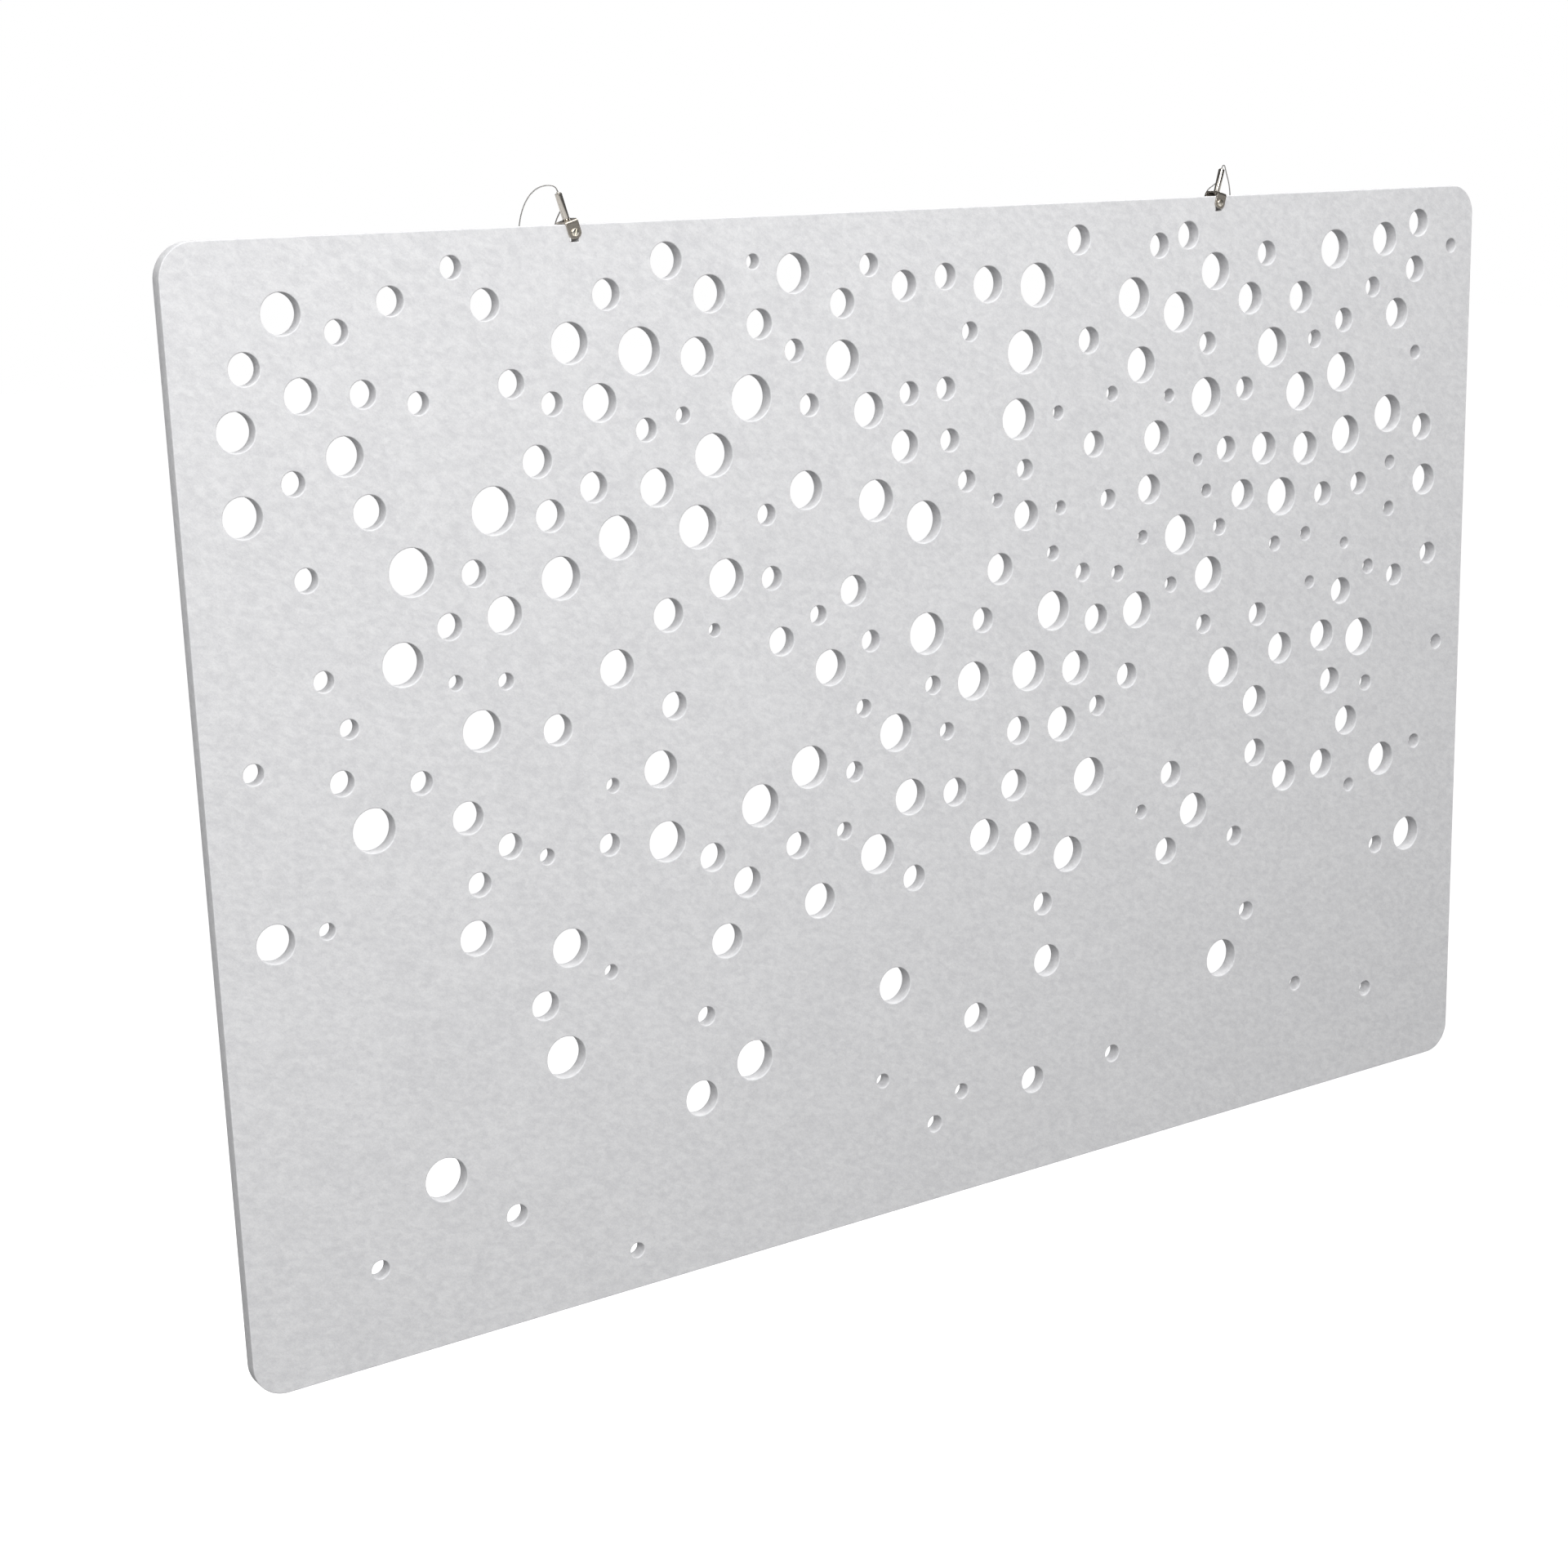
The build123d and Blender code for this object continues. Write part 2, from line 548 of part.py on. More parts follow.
def make_hanger(name, side):
    seat = hanger_plane(side)
    base = seat.offset(bridge_out)
    make_stirrup(name, seat)
    make_sleeve(name, seat)
    make_pivot_screw(f"front_screw_{name}", seat, side, -1)
    make_pivot_screw(f"back_screw_{name}", seat, side, 1)
    make_base_screw(name, seat)
    make_gripper_body(name, base)
    make_plunger(name, base)
    make_jaws(name, base)
    make_spring(name, base)
    pivot_x = seat.origin.X
    nozzle = base.origin + base.z_dir * nozzle_top
    corner, outward = exit_points(base)
    free = [nozzle, nozzle + base.z_dir * WIRE_LEADS[name]]
    free += [Vector(pivot_x + x, y, z) for x, y, z in FREE_POINTS[name]]
    centre = COIL_CENTRES[name]
    coil_start = Vector(pivot_x + centre[0] - COIL_RADIUS, COIL_Y, centre[1] + 2 * WIRE_RADIUS)
    free.append(coil_start)
    free_length = make_wire(f"suspension_wire_{name}", free, corner_radii(free))
    tail = [nozzle, corner, corner + outward * TAIL_REACH]
    tail += [Vector(pivot_x + x, y, z) for x, y, z in TAIL_POINTS[name]]
    tail_length = make_wire(f"wire_tail_{name}", tail, [EXIT_BEND] + corner_radii(tail)[1:])
    socket_top, coil_length = make_coil(name, coil_start, centre, pivot_x)
    make_socket(name, socket_top)
    print("wire", name, "whole length", round(free_length + tail_length + coil_length, 1))
    print("pivot", seat.origin, "axis up the gripper", seat.z_dir)


make_panel()
for hanger_name, hanger_side in SIDES.items():
    make_hanger(hanger_name, hanger_side)
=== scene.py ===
import bmesh
import bpy
import math
from mathutils import Matrix, Vector


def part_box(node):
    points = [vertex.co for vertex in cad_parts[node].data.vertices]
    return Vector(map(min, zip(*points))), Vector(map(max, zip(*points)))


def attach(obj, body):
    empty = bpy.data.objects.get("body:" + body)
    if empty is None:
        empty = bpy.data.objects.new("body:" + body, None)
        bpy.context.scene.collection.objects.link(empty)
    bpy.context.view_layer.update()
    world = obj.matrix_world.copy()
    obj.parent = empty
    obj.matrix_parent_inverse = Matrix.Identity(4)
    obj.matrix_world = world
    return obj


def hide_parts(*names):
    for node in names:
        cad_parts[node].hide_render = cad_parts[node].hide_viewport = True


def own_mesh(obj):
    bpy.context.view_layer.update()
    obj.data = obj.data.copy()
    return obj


# Acoustic ceiling baffle. The frame is in metres; hanger hardware is drawn in millimetres in its
# hanger's own plane (X across the strip, Y to the back, Z up the gripper) and then set in place.

MM = 0.001
CORNER_STEPS = 3
SIDES = {"left": -1, "right": 1}

# Felt panel
FELT_THICKNESS = 0.012
CORNER_RADIUS = 0.025
RIM_EASE = 0.0007
FLAT_SUPPORT = 0.00025
SLOT_CORNER = 0.0005
SLOT_HALF_WIDTH = 0.0035
SLOT_BELOW_PIVOT = 0.0065
EDGE_STEPS = 4
SMALL_HOLE_BELOW = 0.009
LARGE_HOLE_ABOVE = 0.0135

# Hanger plane
PIVOT_X = 300.0
PIVOT_DEPTH = 5.5
LEAN = math.radians(16.5)
BRIDGE_OUT = 8.678
GRIP = 12.3
STRIP_THICKNESS = 1.2
SLEEVE_BORE = 1.5
SLEEVE_RADIUS = 3.4

# Pivot screws
HEAD_RADIUS = 2.8
HEAD_HEIGHT = 1.0
SLOT_WIDTH = 0.8
SLOT_DEPTH = 0.5
SHANK_RADIUS = 1.45
SHANK_LENGTH = 6.2
THREAD_PITCH = 0.5
SCREW_TURN = {"left": 57.0, "right": 125.0}

# Wire gripper, heights from the top of the stirrup's bridge
BODY_RADIUS = 2.5
BODY_LENGTH = 19.0
NOZZLE_TOP = 20.0
EXIT_HEIGHT = 9.4
EXIT_AZIMUTH = math.radians(60)
EXIT_ANGLE = math.radians(45)
BASE_HOLE_RADIUS = 1.05
BASE_HOLE_DEPTH = 4.2
LIP_RADIUS = 1.15
LIP_BOTTOM = 18.2
GUIDE_RADIUS = 1.45
CONE_TOP = 15.9
CONE_BOTTOM = 13.0
CAVITY_RADIUS = 1.85
CAVITY_BOTTOM = 10.0
WIRE_HOLE_RADIUS = 0.75
PLUNGER_BORE = 0.55
PLUNGER_RADIUS = 1.4
SPRING_RADIUS = 1.45
SPRING_WIRE_RADIUS = 0.18

# Steel wire
STRAND_RADIUS = 0.167
STRAND_LAY = 8.0
WIRE_LEADS = {"left": 2.3, "right": 1.2}
FREE_POINTS = {
    "left": [(-10.4, 0.2, 25.7), (-12.7, 0.6, 26.6), (-16.9, 1.7, 26.7), (-22.8, 3.4, 24.9),
             (-28.6, 5.4, 19.4), (-33.0, 7.2, 10.4), (-35.4, 8.5, -1.2), (-36.2, 8.9, -14.0)],
    "right": [(9.4, 0.1, 24.0), (10.6, 0.4, 24.3), (12.1, 1.0, 23.8), (13.7, 1.9, 21.4),
              (16.2, 3.1, 16.9), (20.3, 5.0, 10.8), (23.7, 7.1, 4.0), (25.5, 8.6, -4.0),
              (25.9, 8.9, -13.0)],
}
COIL_CENTRES = {"left": (-22.7, -31.0), "right": (39.4, -26.0)}
COIL_RADIUS = 13.5
COIL_PITCH = 1.65
COIL_TURNS = 3
COIL_Y = 8.9
POINTS_PER_HALF_TURN = 6
SOCKET_DROP = 15.0
SOCKET_LENGTH = 13.0
SOCKET_RADIUS = 4.0
THREAD_RADIUS = 2.5
THREAD_LENGTH = 7.0
STOP_TOP = 3.65
STOP_LENGTH = 2.2
STOP_RADIUS = 1.3
TAIL_POINTS = {"left": [(-8.6, 8.4, -10.0), (-9.0, 8.2, -21.0)],
               "right": [(-4.5, 8.6, -9.0), (-5.0, 8.4, -20.0)]}

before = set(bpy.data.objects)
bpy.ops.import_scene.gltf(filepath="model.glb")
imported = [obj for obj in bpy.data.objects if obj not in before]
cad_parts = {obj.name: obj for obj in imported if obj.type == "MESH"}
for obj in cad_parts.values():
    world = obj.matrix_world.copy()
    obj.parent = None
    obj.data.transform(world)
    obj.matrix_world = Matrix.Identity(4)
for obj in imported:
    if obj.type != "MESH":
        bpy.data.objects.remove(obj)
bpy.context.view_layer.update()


# Camera

def add_camera():
    """The photograph's viewpoint: from the left, just above the top edge, looking slightly down."""
    lens = bpy.data.cameras.new("camera")
    lens.sensor_width = 36.0
    lens.lens = 58.27
    camera = bpy.data.objects.new("camera", lens)
    camera.location = (-1.16548, -1.58976, 0.03450)
    camera.rotation_euler = [math.radians(angle) for angle in (76.319, 1.7502, -33.3154)]
    bpy.context.scene.collection.objects.link(camera)
    bpy.context.scene.camera = camera


# Node trees

class Value:
    """A socket of a node tree that takes part in arithmetic."""

    def __init__(self, tree, socket):
        self.tree = tree
        self.socket = socket

    def other(self, name):
        """Another output of the same node."""
        return Value(self.tree, self.socket.node.outputs[name])

    def maths(self, operation, *values):
        return add(self.tree, "ShaderNodeMath", {"operation": operation}, dict(enumerate(values)))

    def __add__(self, value):
        return self.maths("ADD", self, value)

    def __sub__(self, value):
        return self.maths("SUBTRACT", self, value)

    def __rsub__(self, value):
        return self.maths("SUBTRACT", value, self)

    def __mul__(self, value):
        return self.maths("MULTIPLY", self, value)

    def __truediv__(self, value):
        return self.maths("DIVIDE", self, value)

    def __gt__(self, value):
        return self.maths("GREATER_THAN", self, value)

    __radd__ = __add__
    __rmul__ = __mul__


def add(tree, kind, settings=None, inputs=None, output=0):
    """A node of one type: its settings are set first, then its sockets' values or links."""
    node = tree.nodes.new(kind)
    for name, value in (settings or {}).items():
        setattr(node, name, value)
    for name, value in (inputs or {}).items():
        several = isinstance(value, list) and isinstance(value[0], Value)
        for item in value if several else [value]:
            if isinstance(item, Value):
                tree.links.new(item.socket, node.inputs[name])
            else:
                node.inputs[name].default_value = item
    return Value(tree, node.outputs[output])


def geometry_tree(name, sizes):
    """A Geometry Nodes tree with named inputs, and its inputs as values."""
    tree = bpy.data.node_groups.new(name, "GeometryNodeTree")
    tree.interface.new_socket("Geometry", in_out="INPUT", socket_type="NodeSocketGeometry")
    for label, kind in sizes.items():
        tree.interface.new_socket(label, in_out="INPUT", socket_type=f"NodeSocket{kind}")
    tree.interface.new_socket("Geometry", in_out="OUTPUT", socket_type="NodeSocketGeometry")
    given = tree.nodes.new("NodeGroupInput")
    return tree, {socket.name: Value(tree, socket) for socket in given.outputs if socket.name}


def close_tree(tree, shape, material):
    """Ends a tree in Realize Instances and Set Material."""
    shape = add(tree, "GeometryNodeRealizeInstances", {}, {0: shape})
    shape = add(tree, "GeometryNodeSetMaterial", {}, {"Geometry": shape, "Material": material})
    end = tree.nodes.new("NodeGroupOutput")
    tree.links.new(shape.socket, end.inputs[0])


def grown(base, tree, values):
    """The plain mesh that a tree makes of a base object, which is used up."""
    bpy.context.scene.collection.objects.link(base)
    modifier = base.modifiers.new(tree.name, "NODES")
    modifier.node_group = tree
    for item in tree.interface.items_tree:
        if item.in_out == "INPUT" and item.name in values:
            modifier[item.identifier] = values[item.name]
    evaluated = base.evaluated_get(bpy.context.evaluated_depsgraph_get())
    mesh = bpy.data.meshes.new_from_object(evaluated)
    base.modifiers.clear()
    bpy.data.objects.remove(base)
    return mesh


# Materials

def linear(*levels):
    """A display colour of three levels from 0 to 255 as a shader colour."""
    shares = [level / 255 for level in levels]
    return [s / 12.92 if s <= 0.04045 else ((s + 0.055) / 1.055) ** 2.4 for s in shares] + [1.0]


def blended(tree, share, low, high):
    """Two colours mixed by a share that varies over the surface."""
    return add(tree, "ShaderNodeMix", {"data_type": "RGBA"}, {0: share, 6: low, 7: high}, 2)


def noise(tree, place, scale, detail=3.0, roughness=0.55, distortion=0.0):
    return add(tree, "ShaderNodeTexNoise", {}, {
        "Vector": place, "Scale": scale, "Detail": detail, "Roughness": roughness,
        "Distortion": distortion})


def placed(tree, turn=0.0, stretch=(1, 1, 1)):
    """Object coordinates, with features drawn out along axes turned in the panel's plane."""
    where = add(tree, "ShaderNodeTexCoord", {}, {}, "Object")
    return add(tree, "ShaderNodeMapping", {"vector_type": "TEXTURE"}, {
        "Vector": where, "Rotation": (0, math.radians(turn), 0), "Scale": stretch})


def material(name, constants):
    """A principled material, and its tree and shader node."""
    made = bpy.data.materials.new(name)
    made.use_nodes = True
    tree = made.node_tree
    shader = tree.nodes["Principled BSDF"]
    for socket, value in constants.items():
        shader.inputs[socket].default_value = value
    return made, tree, shader


def feed(tree, shader, **values):
    for name, value in values.items():
        tree.links.new(value.socket, shader.inputs[name.replace("_", " ")])


def felt_finish():
    """Needle-punched felt: soft mottling, a slanting drift of fibres and fine fuzz."""
    made, tree, shader = material("felt", {
        "Sheen Weight": 0.12, "Sheen Roughness": 0.5, "Specular IOR Level": 0.15})
    slant = placed(tree, 22, (1.7, 1, 1))
    cloud = noise(tree, slant, 22.0, 2.0)
    tufts = noise(tree, slant, 230.0, 3.0, 0.6, 0.3)
    fuzz = noise(tree, placed(tree), 950.0, 4.0, 0.7, 0.6)
    fibres = noise(tree, placed(tree, 50, (5, 1, 1)), 1500.0, 2.0, 0.6, 1.2)
    strays = noise(tree, placed(tree, -35, (6, 1, 1)), 1300.0, 2.0, 0.6, 1.4)
    shade = cloud * 0.08 + tufts * 0.42 + fuzz * 0.3 + fibres * 0.1 + strays * 0.1
    share = add(tree, "ShaderNodeMapRange", {}, {0: shade, 1: 0.4, 2: 0.6, 3: 0.0, 4: 1.0})
    colour = blended(tree, share, linear(208, 208, 210), linear(226, 226, 227))
    relief = tufts * 0.5 + fuzz * 0.26 + fibres * 0.14 + strays * 0.14
    bump = add(tree, "ShaderNodeBump", {}, {"Strength": 0.45, "Distance": 0.0007, "Height": relief})
    feed(tree, shader, Base_Color=colour, Roughness=0.86 + fuzz * 0.14, Normal=bump)
    return made


def metal_finish(name, dark, light, rough, grain, depth, scale=600.0):
    """Plated or drawn metal: grain lines that vary its colour, gloss and relief."""
    made, tree, shader = material(name, {"Metallic": 1.0})
    lines = noise(tree, placed(tree, 0, grain), scale, 3.0, 0.6)
    cloud = noise(tree, placed(tree), 160.0, 2.0)
    share = lines * 0.6 + cloud * 0.4
    bump = add(tree, "ShaderNodeBump", {}, {"Strength": 0.5, "Distance": depth, "Height": lines})
    feed(tree, shader, Base_Color=blended(tree, share, dark, light),
         Roughness=rough - 0.07 + share * 0.14, Normal=bump)
    return made


def plain_finish(name, colour, glow=0.0):
    """The floor and backdrop: pale paint with a faint mottle."""
    made, tree, shader = material(name, {
        "Roughness": 0.9, "Emission Strength": glow, "Emission Color": colour})
    mottle = noise(tree, placed(tree), 3.0)
    feed(tree, shader, Base_Color=blended(tree, mottle, [c * 0.98 for c in colour], colour))
    return made


# Making and placing pieces

def new_object(name, mesh):
    made = bpy.data.objects.new(name, mesh)
    bpy.context.scene.collection.objects.link(made)
    return made


def hanger_place(side):
    """From a hanger's own millimetres to the frame's metres."""
    across = Vector((math.cos(LEAN), 0, -side * math.sin(LEAN)))
    up = Vector((side * math.sin(LEAN), 0, math.cos(LEAN)))
    turn = Matrix((across, Vector((0, 1, 0)), up)).transposed().to_4x4()
    pivot = Vector((side * PIVOT_X, 0, -PIVOT_DEPTH)) * MM
    return Matrix.Translation(pivot) @ turn @ Matrix.Scale(MM, 4)


def seated(name, mesh, place, body, nodes, finish=None, sharp=35.0):
    """A finished piece: its mesh set in place, smoothed, riding on its body for its nodes."""
    mesh.transform(place)
    if finish:
        mesh.materials.clear()
        mesh.materials.append(finish)
    piece = new_object(name, mesh)
    if sharp:
        mesh.shade_smooth()
        mesh.set_sharp_from_angle(angle=math.radians(sharp))
    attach(piece, body)
    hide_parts(*nodes)
    return piece


def tidy_mesh(shape, name):
    """A mesh of merged points whose faces all point outwards."""
    bmesh.ops.remove_doubles(shape, verts=shape.verts, dist=1e-6)
    bmesh.ops.recalc_face_normals(shape, faces=shape.faces)
    mesh = bpy.data.meshes.new(name)
    shape.to_mesh(mesh)
    shape.free()
    return mesh


def eased(profile, radius):
    """A closed profile with every corner off the axis rounded."""
    points = []
    count = len(profile)
    for index, corner in enumerate(profile):
        here = Vector(corner)
        before = Vector(profile[index - 1]) - here
        after = Vector(profile[(index + 1) % count]) - here
        if here.x < 1e-6:
            points.append(here)
            continue
        cut = min(radius, before.length * 0.45, after.length * 0.45)
        start = here + before.normalized() * cut
        end = here + after.normalized() * cut
        for step in range(CORNER_STEPS + 1):
            t = step / CORNER_STEPS
            points.append(start * (1 - t) ** 2 + here * (2 * t * (1 - t)) + end * t ** 2)
    return points


def turned(name, profile, sides, ease=0.1, thread=None):
    """A turned part about Z from a closed (radius, height) profile.

    A thread is its lowest and highest height, wall radius, pitch and depth, and waves that wall.
    """
    points = eased(profile, ease)
    shape = bmesh.new()
    rings = []
    for radius, height in points:
        ring = []
        for index in range(sides):
            angle = math.tau * index / sides
            wave = 0.0
            if thread and thread[0] < height < thread[1] and abs(radius - thread[2]) < 0.01:
                wave = thread[4] * math.cos(math.tau * (height / thread[3] + index / sides))
            ring.append(shape.verts.new((
                (radius + wave) * math.cos(angle), (radius + wave) * math.sin(angle), height)))
        rings.append(ring)
    for index, ring in enumerate(rings):
        after = rings[(index + 1) % len(rings)]
        for place in range(sides):
            follow = (place + 1) % sides
            shape.faces.new((ring[place], ring[follow], after[follow], after[place]))
    bmesh.ops.dissolve_degenerate(shape, dist=1e-5, edges=shape.edges)
    return tidy_mesh(shape, name)


def dressed(name, node, body, finish, ease):
    """A CAD solid's own shape with its sharp edges broken."""
    shape = bmesh.new()
    shape.from_mesh(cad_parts[node].data)
    bmesh.ops.remove_doubles(shape, verts=shape.verts, dist=1e-6)
    bmesh.ops.dissolve_limit(
        shape, angle_limit=math.radians(1), verts=shape.verts, edges=shape.edges)
    mesh = bpy.data.meshes.new(name)
    shape.to_mesh(mesh)
    shape.free()
    base = new_object(name, mesh)
    modifier = base.modifiers.new("ease", "BEVEL")
    modifier.width = ease
    modifier.segments = 2
    modifier.angle_limit = math.radians(40)
    modifier.use_clamp_overlap = True
    even = base.modifiers.new("even", "WEIGHTED_NORMAL")
    even.weight = 100
    for face in mesh.polygons:
        face.use_smooth = True
    made = bpy.data.meshes.new_from_object(
        base.evaluated_get(bpy.context.evaluated_depsgraph_get()))
    bpy.data.objects.remove(base)
    return seated(name, made, Matrix.Identity(4), body, [node], finish, None)


# Wires

def hanger_points(side, points):
    place = hanger_place(side)
    return [place @ Vector(point) for point in points]


def wire_way_out():
    """The side exit's direction in the hanger's own plane."""
    sideways = Vector((-math.cos(EXIT_AZIMUTH), math.sin(EXIT_AZIMUTH), 0))
    return sideways * math.sin(EXIT_ANGLE) - Vector((0, 0, math.cos(EXIT_ANGLE)))


def coil_points(name, side):
    """Two layers of turns, in by one and out by the next, then down into the socket."""
    middle = Vector((side * PIVOT_X + COIL_CENTRES[name][0], 0, COIL_CENTRES[name][1]))
    radius = COIL_RADIUS
    layer = COIL_Y
    ends = [middle + Vector((-radius, layer, 0))]
    for index in range(1, 4 * COIL_TURNS + 1):
        if index == 2 * COIL_TURNS + 1:
            layer += COIL_PITCH
        else:
            radius += COIL_PITCH / 2 * (-1 if index <= 2 * COIL_TURNS else 1)
        ends.append(middle + Vector(((-1 if index % 2 == 0 else 1) * radius, layer, 0)))
    widen = 1 / math.cos(math.pi / POINTS_PER_HALF_TURN / 2)
    points = []
    for index, (start, finish) in enumerate(zip(ends, ends[1:])):
        centre = (start + finish) / 2
        out = (start - centre) * widen
        heading = Vector((0, 0, -out.length if index % 2 == 0 else out.length))
        for step in range(POINTS_PER_HALF_TURN):
            angle = math.pi * (step + 0.5) / POINTS_PER_HALF_TURN
            points.append(centre + out * math.cos(angle) + heading * math.sin(angle))
    top = ends[-1] - Vector((0, 0, SOCKET_DROP))
    points += [top + Vector((0, 0, 6)), top, top - Vector((0, 0, STOP_TOP + STOP_LENGTH))]
    return [point * MM for point in points], top * MM


def route(name, points):
    """The smooth line of a wire, as points read from its spline."""
    curve = bpy.data.curves.new(name, "CURVE")
    curve.dimensions = "3D"
    spline = curve.splines.new("NURBS")
    spline.points.add(len(points) - 1)
    for target, point in zip(spline.points, points):
        target.co = (*point, 1.0)
    spline.order_u = 3
    spline.use_endpoint_u = True
    spline.resolution_u = 10
    bare = bpy.data.objects.new(name, curve)
    mesh = bpy.data.meshes.new_from_object(bare)
    line = [vertex.co.copy() for vertex in mesh.vertices]
    bpy.data.objects.remove(bare)
    bpy.data.meshes.remove(mesh)
    return line


def strand_tree():
    """Steel wire: strands laid round a core along a line, twisted once in each lay."""
    tree, given = geometry_tree("laid_strands", {
        "Strand Radius": "Float", "Lay": "Float", "Material": "Material"})
    line = add(tree, "GeometryNodeMeshToCurve", {}, {"Mesh": given["Geometry"]})
    along = add(tree, "GeometryNodeSplineParameter", {}, {}, "Length")
    line = add(tree, "GeometryNodeSetCurveTilt", {}, {
        "Curve": line, "Tilt": along / given["Lay"] * math.tau})
    ring = add(tree, "GeometryNodeCurvePrimitiveCircle", {}, {
        "Resolution": 6, "Radius": given["Strand Radius"] * 2})
    strand = add(tree, "GeometryNodeCurvePrimitiveCircle", {}, {
        "Resolution": 6, "Radius": given["Strand Radius"]})
    laid = add(tree, "GeometryNodeInstanceOnPoints", {}, {
        "Points": add(tree, "GeometryNodeCurveToPoints", {"mode": "EVALUATED"}, {"Curve": ring}),
        "Instance": strand})
    both = add(tree, "GeometryNodeJoinGeometry", {}, {
        0: [add(tree, "GeometryNodeRealizeInstances", {}, {0: laid}), strand]})
    rope = add(tree, "GeometryNodeCurveToMesh", {}, {
        "Curve": line, "Profile Curve": both, "Fill Caps": True})
    close_tree(tree, rope, given["Material"])
    return tree


def lay_wire(name, points, tree, finish, body, nodes):
    """A stranded wire along a route, and the route's line."""
    line = route(name, points)
    mesh = bpy.data.meshes.new(name)
    mesh.from_pydata(line, [(i, i + 1) for i in range(len(line) - 1)], [])
    base = bpy.data.objects.new(name, mesh)
    made = grown(base, tree, {
        "Strand Radius": STRAND_RADIUS * MM, "Lay": STRAND_LAY * MM, "Material": finish})
    wire = seated(name, made, Matrix.Identity(4), body, nodes, sharp=60)
    return wire, line


def length_of(line):
    return sum((b - a).length for a, b in zip(line, line[1:]))


# Pieces that repeat

def screw_tree():
    """Slotted pan head above zero and threaded shank below it; the base object gives no shape."""
    tree, given = geometry_tree("slotted_screw", {
        "Head Radius": "Float", "Head Height": "Float", "Slot Width": "Float", "Slot Depth": "Float",
        "Slot Turn": "Float", "Shank Radius": "Float", "Shank Length": "Float", "Pitch": "Float",
        "Material": "Material"})
    place = add(tree, "GeometryNodeInputPosition")
    split = add(tree, "ShaderNodeSeparateXYZ", {}, {0: place}, "Z")
    head = add(tree, "GeometryNodeMeshCylinder", {"fill_type": "TRIANGLE_FAN"}, {
        "Vertices": 48, "Side Segments": 8, "Fill Segments": 6,
        "Radius": given["Head Radius"], "Depth": given["Head Height"]}, "Mesh")
    level = split / given["Head Height"] + 0.5
    round_off = 1 - (level.maths("POWER", level, 5.0)) * 0.16
    reach = add(tree, "ShaderNodeCombineXYZ", {}, {0: round_off, 1: round_off, 2: 1.0})
    shaped = add(tree, "ShaderNodeVectorMath", {"operation": "MULTIPLY"}, {0: place, 1: reach})
    flat = add(tree, "ShaderNodeVectorMath", {"operation": "LENGTH"}, {
        0: add(tree, "ShaderNodeVectorMath", {"operation": "MULTIPLY"}, {
            0: place, 1: (1.0, 1.0, 0.0)})}, "Value")
    crown = 1 - (flat / given["Head Radius"]).maths("POWER", flat / given["Head Radius"], 2.0)
    lift = add(tree, "ShaderNodeCombineXYZ", {}, {2: crown * level * 0.22})
    head = add(tree, "GeometryNodeSetPosition", {}, {
        "Geometry": head, "Position": shaped, "Offset": lift})
    head = add(tree, "GeometryNodeTransform", {}, {
        "Geometry": head,
        "Translation": add(tree, "ShaderNodeCombineXYZ", {}, {2: given["Head Height"] * 0.5})})
    cutter = add(tree, "GeometryNodeMeshCube", {}, {
        "Size": add(tree, "ShaderNodeCombineXYZ", {}, {
            0: given["Head Radius"] * 4, 1: given["Slot Width"],
            2: given["Slot Depth"] * 2 + 0.4})}, "Mesh")
    cutter = add(tree, "GeometryNodeTransform", {}, {
        "Geometry": cutter,
        "Translation": add(tree, "ShaderNodeCombineXYZ", {}, {2: given["Head Height"] + 0.2}),
        "Rotation": add(tree, "ShaderNodeCombineXYZ", {}, {2: given["Slot Turn"]})})
    head = add(tree, "GeometryNodeMeshBoolean", {"operation": "DIFFERENCE", "solver": "EXACT"}, {
        "Mesh 1": head, "Mesh 2": [cutter]}, "Mesh")
    shank = add(tree, "GeometryNodeMeshCylinder", {"fill_type": "NGON"}, {
        "Vertices": 24, "Side Segments": 62, "Radius": given["Shank Radius"],
        "Depth": given["Shank Length"]}, "Mesh")
    east = add(tree, "ShaderNodeSeparateXYZ", {}, {0: place}, "X")
    turn = east.maths("ARCTAN2", east.other("Y"), east) / math.tau
    wave = (split / given["Pitch"] + turn).maths("PINGPONG", split / given["Pitch"] + turn, 0.5)
    thin = 1 - wave * 0.26
    shank = add(tree, "GeometryNodeSetPosition", {}, {
        "Geometry": shank,
        "Position": add(tree, "ShaderNodeVectorMath", {"operation": "MULTIPLY"}, {
            0: place, 1: add(tree, "ShaderNodeCombineXYZ", {}, {0: thin, 1: thin, 2: 1.0})})})
    shank = add(tree, "GeometryNodeTransform", {}, {
        "Geometry": shank,
        "Translation": add(tree, "ShaderNodeCombineXYZ", {}, {
            2: given["Shank Length"] * -0.5})})
    both = add(tree, "GeometryNodeJoinGeometry", {}, {0: [head, shank]})
    close_tree(tree, both, given["Material"])
    return tree


def spring_tree():
    """Compression spring of round wire."""
    tree, given = geometry_tree("coil_spring", {
        "Turns": "Float", "Radius": "Float", "Height": "Float", "Wire Radius": "Float",
        "Material": "Material"})
    line = add(tree, "GeometryNodeCurveSpiral", {}, {
        "Resolution": 28, "Rotations": given["Turns"], "Start Radius": given["Radius"],
        "End Radius": given["Radius"], "Height": given["Height"]})
    wire = add(tree, "GeometryNodeCurvePrimitiveCircle", {}, {
        "Resolution": 8, "Radius": given["Wire Radius"]})
    coil = add(tree, "GeometryNodeCurveToMesh", {}, {
        "Curve": line, "Profile Curve": wire, "Fill Caps": True})
    close_tree(tree, coil, given["Material"])
    return tree


# Felt panel

